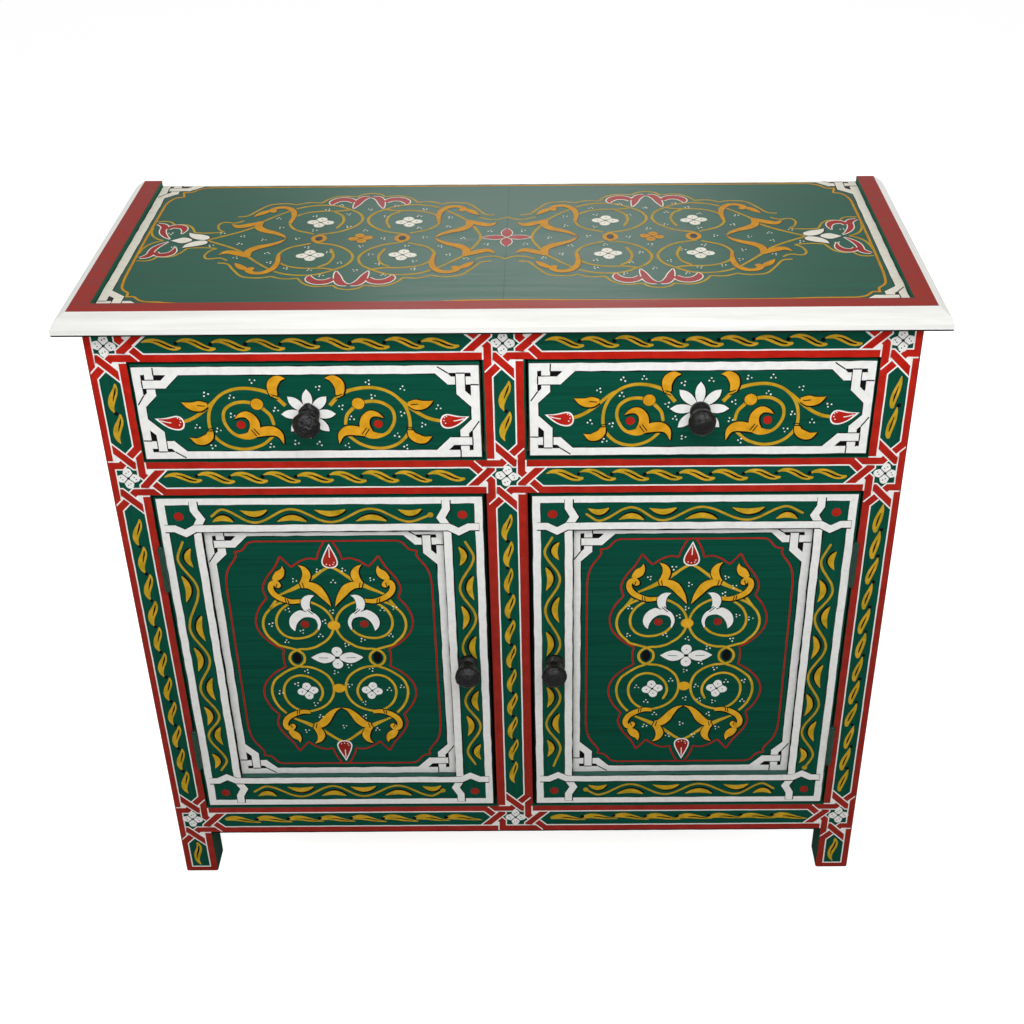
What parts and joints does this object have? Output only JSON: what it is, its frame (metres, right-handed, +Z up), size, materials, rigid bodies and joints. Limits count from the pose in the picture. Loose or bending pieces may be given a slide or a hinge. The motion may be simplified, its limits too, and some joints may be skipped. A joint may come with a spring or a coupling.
{
  "type": "painted dresser",
  "caption": "Free-standing painted wooden dresser with drawers over panelled doors, under a top with a raised tray rim.",
  "frame": {"origin": "on the floor, under the middle of the bounding box", "axes": "+X to the viewer's right along the front, +Y from the front to the back, +Z up"},
  "size_m": [1, 0.457, 0.86],
  "materials": {
    "green_paint": "hand-painted dark green with painted ornament",
    "white_paint": "hand-painted white, red on the flat of the rim",
    "bare_wood": "bare wood",
    "black_iron": "black, slightly hammered",
    "hinge_steel": "plain, barrels painted over in green"
  },
  "bodies": {
    "case": {"top_panel": "green_paint", "top_moulding_front": "white_paint", "top_moulding_left": "white_paint", "top_moulding_right": "white_paint", "post_front_left": "green_paint", "post_front_right": "green_paint", "post_rear_left": "green_paint", "post_rear_right": "green_paint", "rail_top_front": "green_paint", "rail_middle_front": "green_paint", "rail_bottom_front": "green_paint", "rail_top_rear": "bare_wood", "rail_middle_rear": "bare_wood", "rail_bottom_rear": "bare_wood", "muntin_upper": "green_paint", "muntin_lower": "green_paint", "side_panel_left": "green_paint", "side_panel_right": "green_paint", "back_panel": "bare_wood", "case_floor": "bare_wood", "door_stop": "bare_wood", "drawer_runner_left": "bare_wood", "drawer_runner_centre": "bare_wood", "drawer_runner_right": "bare_wood", "left_door_lower_hinge_frame_leaf": "hinge_steel", "left_door_lower_hinge_pin": "hinge_steel", "left_door_upper_hinge_frame_leaf": "hinge_steel", "left_door_upper_hinge_pin": "hinge_steel", "right_door_lower_hinge_frame_leaf": "hinge_steel", "right_door_lower_hinge_pin": "hinge_steel", "right_door_upper_hinge_frame_leaf": "hinge_steel", "right_door_upper_hinge_pin": "hinge_steel"},
    "left_door": {"left_door_hinge_stile": "green_paint", "left_door_knob_stile": "green_paint", "left_door_top_rail": "green_paint", "left_door_bottom_rail": "green_paint", "left_door_panel": "green_paint", "left_door_knob": "black_iron", "left_door_lower_hinge_door_leaf": "hinge_steel", "left_door_upper_hinge_door_leaf": "hinge_steel"},
    "right_door": {"right_door_hinge_stile": "green_paint", "right_door_knob_stile": "green_paint", "right_door_top_rail": "green_paint", "right_door_bottom_rail": "green_paint", "right_door_panel": "green_paint", "right_door_knob": "black_iron", "right_door_lower_hinge_door_leaf": "hinge_steel", "right_door_upper_hinge_door_leaf": "hinge_steel"},
    "left_drawer": {"left_drawer_front": "green_paint", "left_drawer_left_side": "bare_wood", "left_drawer_right_side": "bare_wood", "left_drawer_back": "bare_wood", "left_drawer_bottom": "bare_wood", "left_drawer_knob": "black_iron"},
    "right_drawer": {"right_drawer_front": "green_paint", "right_drawer_left_side": "bare_wood", "right_drawer_right_side": "bare_wood", "right_drawer_back": "bare_wood", "right_drawer_bottom": "bare_wood", "right_drawer_knob": "black_iron"}
  },
  "joints": [
    {"name": "left_door_hinge", "type": "hinge", "parent": "case", "child": "left_door", "pos_m": [-0.4275, -0.1887, 0.37], "axis": [0, 0, -1], "range_deg": [0, 170]},
    {"name": "right_door_hinge", "type": "hinge", "parent": "case", "child": "right_door", "pos_m": [0.4275, -0.1887, 0.37], "axis": [0, 0, 1], "range_deg": [0, 170]},
    {"name": "left_drawer_slide", "type": "slide", "parent": "case", "child": "left_drawer", "axis": [0, -1, 0], "range_m": [0, 0.28]},
    {"name": "right_drawer_slide", "type": "slide", "parent": "case", "child": "right_drawer", "axis": [0, -1, 0], "range_m": [0, 0.28]}
  ]
}
